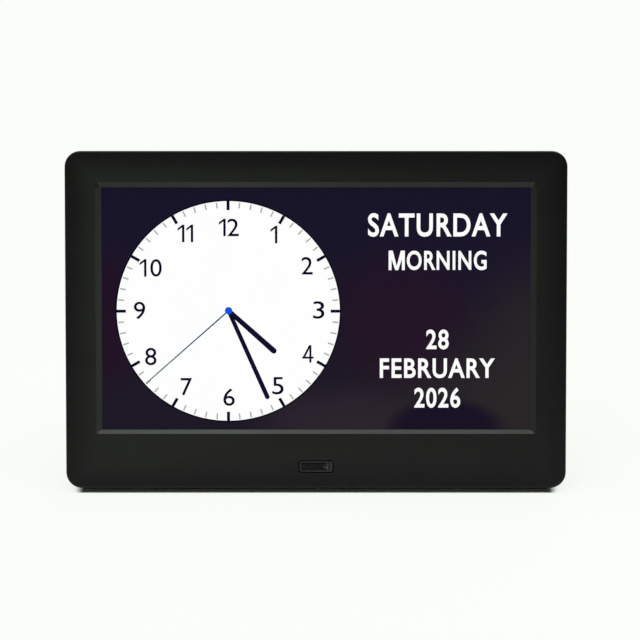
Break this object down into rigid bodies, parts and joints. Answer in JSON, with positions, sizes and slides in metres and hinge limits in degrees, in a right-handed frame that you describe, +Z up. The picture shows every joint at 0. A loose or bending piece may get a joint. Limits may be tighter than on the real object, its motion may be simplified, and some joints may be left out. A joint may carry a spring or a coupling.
{
  "type": "digital day clock",
  "caption": "Leaning digital day clock: black bezel round a wide screen with a round dial, rear cover with push buttons and side sockets, and a hinged support leg.",
  "frame": {"origin": "centre of the bounding box, on the table plane, with the clock in its leaning pose", "axes": "+X along the clock's width, to the viewer's right; +Y away from the viewer; +Z up. The face looks along -Y and leans back 12 degrees"},
  "size_m": [0.208, 0.0498, 0.1386],
  "materials": {
    "bezel_black": "fine satin moulded black plastic",
    "cover_black": "lightly textured moulded black plastic",
    "window_tint": "dark infrared-passing plastic, smooth",
    "button_black": "smooth black plastic",
    "plunger_white": "moulded nylon",
    "screen_glass": "glossy dark screen glass",
    "picture_white": "lit white pixels under glass",
    "picture_navy": "dark blue pixels under glass",
    "film_white": "white optical film",
    "guide_acrylic": "clear acrylic",
    "led_strip": "flexible circuit with small lamps",
    "frame_white": "white moulded frame",
    "sheet_steel": "zinc-plated sheet",
    "screw_steel": "zinc-plated",
    "pin_steel": "drawn steel",
    "foam_black": "closed-cell foam",
    "pad_rubber": "matte rubber",
    "flex_amber": "polyimide ribbon",
    "board_green": "solder mask",
    "chip_black": "moulded epoxy",
    "can_aluminium": "drawn can",
    "socket_cream": "moulded nylon",
    "socket_black": "moulded black plastic",
    "socket_steel": "nickel-plated shell",
    "cell_steel": "nickel-plated can",
    "speaker_steel": "dark plated basket",
    "cone_black": "coated paper cone",
    "lead_red": "insulated wire",
    "lead_black": "insulated wire",
    "cable_white": "flat ribbon cable"
  },
  "bodies": {
    "case": {"front_bezel": "bezel_black", "ir_window": "window_tint", "rear_cover": "cover_black", "case_screws": "screw_steel", "lcd_gasket": "foam_black", "lcd_glass": "screen_glass", "picture_dial": "picture_white", "picture_hands": "picture_navy", "diffuser_sheet": "film_white", "light_guide": "guide_acrylic", "reflector_sheet": "film_white", "led_strip": "led_strip", "backlight_frame": "frame_white", "lcd_rear_tray": "sheet_steel", "lcd_clips": "sheet_steel", "lcd_clip_screws": "screw_steel", "lcd_flex": "flex_amber", "main_board": "board_green", "board_chips": "chip_black", "capacitors": "can_aluminium", "wire_sockets": "socket_cream", "board_screws": "screw_steel", "dc_jack": "socket_black", "usb_socket": "socket_steel", "card_socket": "socket_steel", "coin_cell_holder": "socket_black", "coin_cell": "cell_steel", "speaker_frame": "speaker_steel", "speaker_cone": "cone_black", "speaker_leads": "lead_red", "key_board": "board_green", "key_switches": "chip_black", "key_board_screws": "screw_steel", "key_cable": "cable_white", "ir_board": "board_green", "ir_receiver": "window_tint", "ir_leads": "lead_black", "ir_board_screws": "screw_steel", "hinge_pin": "pin_steel"},
    "leg": {"support_leg": "cover_black", "leg_pad": "pad_rubber"},
    "power_key": {"power_button": "button_black", "power_plunger": "plunger_white"},
    "menu_key": {"menu_button": "button_black", "menu_plunger": "plunger_white"},
    "left_key": {"left_button": "button_black", "left_plunger": "plunger_white"},
    "up_key": {"up_button": "button_black", "up_plunger": "plunger_white"},
    "down_key": {"down_button": "button_black", "down_plunger": "plunger_white"},
    "right_key": {"right_button": "button_black", "right_plunger": "plunger_white"},
    "exit_key": {"exit_button": "button_black", "exit_plunger": "plunger_white"}
  },
  "joints": [
    {"name": "leg_hinge", "type": "hinge", "parent": "case", "child": "leg", "pos_m": [0, 0.00619, 0.06269], "axis": [1, 0, 0], "range_deg": [-26, 0]},
    {"name": "power_press", "type": "slide", "parent": "case", "child": "power_key", "axis": [0, -0.9781, 0.2079], "range_m": [0, 0.0004], "stiffness_N_per_m": 2500},
    {"name": "menu_press", "type": "slide", "parent": "case", "child": "menu_key", "axis": [0, -0.9781, 0.2079], "range_m": [0, 0.0004], "stiffness_N_per_m": 2500},
    {"name": "left_press", "type": "slide", "parent": "case", "child": "left_key", "axis": [0, -0.9781, 0.2079], "range_m": [0, 0.0004], "stiffness_N_per_m": 2500},
    {"name": "up_press", "type": "slide", "parent": "case", "child": "up_key", "axis": [0, -0.9781, 0.2079], "range_m": [0, 0.0004], "stiffness_N_per_m": 2500},
    {"name": "down_press", "type": "slide", "parent": "case", "child": "down_key", "axis": [0, -0.9781, 0.2079], "range_m": [0, 0.0004], "stiffness_N_per_m": 2500},
    {"name": "right_press", "type": "slide", "parent": "case", "child": "right_key", "axis": [0, -0.9781, 0.2079], "range_m": [0, 0.0004], "stiffness_N_per_m": 2500},
    {"name": "exit_press", "type": "slide", "parent": "case", "child": "exit_key", "axis": [0, -0.9781, 0.2079], "range_m": [0, 0.0004], "stiffness_N_per_m": 2500}
  ]
}
